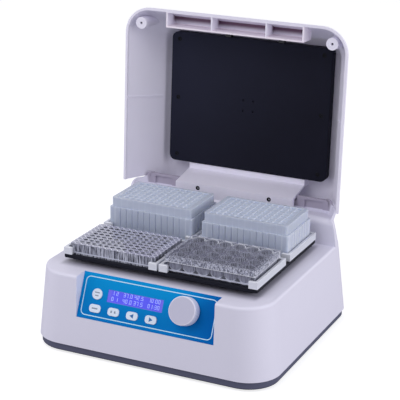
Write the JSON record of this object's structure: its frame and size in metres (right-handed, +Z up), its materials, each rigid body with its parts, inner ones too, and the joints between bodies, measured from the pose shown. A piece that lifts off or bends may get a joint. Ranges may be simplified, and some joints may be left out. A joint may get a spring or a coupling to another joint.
{
  "type": "microplate incubator",
  "caption": "Bench shaking incubator for microplates with a hinged heated lid standing open, railed plate nests, a sloping control panel with a display, push keys and a knob.",
  "frame": {"origin": "on the bench, under the middle of the shaking platform", "axes": "+Z up, -Y towards the control panel, +X to the right seen from the control panel"},
  "size_m": [0.344, 0.3535, 0.4129],
  "materials": {
    "housing_plastic": "fine satin texture",
    "lid_plastic": "smooth satin",
    "tray_plastic": "satin",
    "foot_rubber": "matte",
    "overlay_film": "printed film",
    "display_window": "lit display behind a clear window",
    "key_plastic": "satin",
    "knob_plastic": "satin",
    "circuit_board": "board",
    "steel": "turned",
    "brass": "turned",
    "sheet_steel": "plated sheet",
    "platform_black": "black anodised",
    "rail_aluminium": "satin anodised",
    "heater_black": "black coated",
    "insulation": "felt",
    "heater_silicone": "matte",
    "clear_plastic": "clear polystyrene",
    "milky_plastic": "translucent polypropylene",
    "dark_trim": "satin",
    "screw_black": "blackened"
  },
  "bodies": {
    "base": {"rubber_feet": "foot_rubber", "bottom_tray": "tray_plastic", "housing": "housing_plastic", "case_screws": "screw_black", "control_overlay": "overlay_film", "lcd_window": "display_window", "display_board": "circuit_board", "encoder_body": "steel", "encoder_nut": "steel", "chassis_plate": "sheet_steel", "drive_bridge": "sheet_steel", "drive_motor": "steel", "idler_blocks": "rail_aluminium", "main_board": "circuit_board", "power_supply": "rail_aluminium", "rear_panel": "dark_trim", "panel_screws": "steel", "inlet_socket": "dark_trim", "inlet_pins": "brass", "rocker_frame": "dark_trim", "hinge_shaft": "steel", "hinge_bushes": "brass", "hinge_dampers": "dark_trim"},
    "round_button": {"round_key": "key_plastic"},
    "menu_button": {"menu_key": "key_plastic"},
    "run_button": {"run_key": "key_plastic"},
    "left_button": {"left_key": "key_plastic"},
    "right_button": {"right_key": "key_plastic"},
    "encoder_push": {"encoder_plunger": "steel"},
    "knob": {"encoder_shaft": "steel", "control_knob": "knob_plastic"},
    "drive_crank": {"crank": "steel", "counterweight": "brass"},
    "shaking_platform": {"platform_carrier": "platform_black", "hub_bearing": "steel", "heater_mat": "heater_silicone", "platform": "platform_black", "rail_screws": "screw_black", "nest_rails_front_left": "rail_aluminium", "nest_rails_front_right": "rail_aluminium", "nest_rails_rear_left": "rail_aluminium", "nest_rails_rear_right": "rail_aluminium"},
    "idler_front_left": {"idler_crank_front_left": "steel"},
    "idler_front_right": {"idler_crank_front_right": "steel"},
    "idler_rear_left": {"idler_crank_rear_left": "steel"},
    "idler_rear_right": {"idler_crank_rear_right": "steel"},
    "plate_front_left": {"microplate_96": "clear_plastic"},
    "plate_front_right": {"microplate_24": "clear_plastic"},
    "plate_cover": {"microplate_cover": "clear_plastic"},
    "plate_rear_left": {"deep_well_left": "milky_plastic"},
    "plate_rear_right": {"deep_well_right": "milky_plastic"},
    "mains_rocker": {"power_rocker": "dark_trim"},
    "lid": {"hinge_knuckle": "lid_plastic", "lid_shell": "lid_plastic", "boss_screws": "screw_black", "lid_screws": "screw_black", "lid_heater_plate": "heater_black", "lid_insulation": "insulation", "handle_box": "lid_plastic", "plate_clips": "dark_trim"}
  },
  "joints": [
    {"name": "lid_hinge", "type": "hinge", "parent": "base", "child": "lid", "pos_m": [0, 0.1366, 0.1376], "axis": [-1, 0, 0], "range_deg": [-92.4, 0]},
    {"name": "crank_spin", "type": "hinge", "parent": "base", "child": "drive_crank", "pos_m": [0, 0, 0.089], "axis": [0, 0, 1], "continuous": true},
    {"name": "platform_orbit", "type": "hinge", "parent": "drive_crank", "child": "shaking_platform", "pos_m": [0.001, 0, 0.1], "axis": [0, 0, 1], "continuous": true},
    {"name": "idler_front_left_spin", "type": "hinge", "parent": "base", "child": "idler_front_left", "pos_m": [-0.096, -0.062, 0.099], "axis": [0, 0, 1], "continuous": true},
    {"name": "idler_front_right_spin", "type": "hinge", "parent": "base", "child": "idler_front_right", "pos_m": [0.096, -0.062, 0.099], "axis": [0, 0, 1], "continuous": true},
    {"name": "idler_rear_left_spin", "type": "hinge", "parent": "base", "child": "idler_rear_left", "pos_m": [-0.096, 0.062, 0.099], "axis": [0, 0, 1], "continuous": true},
    {"name": "idler_rear_right_spin", "type": "hinge", "parent": "base", "child": "idler_rear_right", "pos_m": [0.096, 0.062, 0.099], "axis": [0, 0, 1], "continuous": true},
    {"name": "plate_front_left_lift", "type": "slide", "parent": "shaking_platform", "child": "plate_front_left", "axis": [0, 0, 1], "range_m": [0, 0.06]},
    {"name": "plate_front_right_lift", "type": "slide", "parent": "shaking_platform", "child": "plate_front_right", "axis": [0, 0, 1], "range_m": [0, 0.06]},
    {"name": "plate_rear_left_lift", "type": "slide", "parent": "shaking_platform", "child": "plate_rear_left", "axis": [0, 0, 1], "range_m": [0, 0.06]},
    {"name": "plate_rear_right_lift", "type": "slide", "parent": "shaking_platform", "child": "plate_rear_right", "axis": [0, 0, 1], "range_m": [0, 0.06]},
    {"name": "plate_cover_lift", "type": "slide", "parent": "plate_front_right", "child": "plate_cover", "axis": [0, 0, 1], "range_m": [0, 0.03]},
    {"name": "round_key_press", "type": "slide", "parent": "base", "child": "round_button", "axis": [0, 0.9164, -0.4003], "range_m": [0, 0.0008], "stiffness_N_per_m": 600, "springref_m": -0.001},
    {"name": "menu_key_press", "type": "slide", "parent": "base", "child": "menu_button", "axis": [0, 0.9164, -0.4003], "range_m": [0, 0.0008], "stiffness_N_per_m": 600, "springref_m": -0.001},
    {"name": "run_key_press", "type": "slide", "parent": "base", "child": "run_button", "axis": [0, 0.9164, -0.4003], "range_m": [0, 0.0008], "stiffness_N_per_m": 600, "springref_m": -0.001},
    {"name": "left_key_press", "type": "slide", "parent": "base", "child": "left_button", "axis": [0, 0.9164, -0.4003], "range_m": [0, 0.0008], "stiffness_N_per_m": 600, "springref_m": -0.001},
    {"name": "right_key_press", "type": "slide", "parent": "base", "child": "right_button", "axis": [0, 0.9164, -0.4003], "range_m": [0, 0.0008], "stiffness_N_per_m": 600, "springref_m": -0.001},
    {"name": "encoder_press", "type": "slide", "parent": "base", "child": "encoder_push", "axis": [0, 0.9164, -0.4003], "range_m": [0, 0.0005], "stiffness_N_per_m": 1500, "springref_m": -0.001},
    {"name": "knob_turn", "type": "hinge", "parent": "encoder_push", "child": "knob", "pos_m": [0.054, -0.12683, 0.08836], "axis": [0, -0.9164, 0.4003], "continuous": true},
    {"name": "mains_rocker_tilt", "type": "hinge", "parent": "base", "child": "mains_rocker", "pos_m": [0.066, 0.1595, 0.047], "axis": [-1, 0, 0], "range_deg": [0, 10]}
  ],
  "couplings": [
    {"joint": "crank_spin", "follows": "platform_orbit", "ratio": -1},
    {"joint": "idler_front_left_spin", "follows": "platform_orbit", "ratio": -1},
    {"joint": "idler_front_right_spin", "follows": "platform_orbit", "ratio": -1},
    {"joint": "idler_rear_left_spin", "follows": "platform_orbit", "ratio": -1},
    {"joint": "idler_rear_right_spin", "follows": "platform_orbit", "ratio": -1}
  ]
}
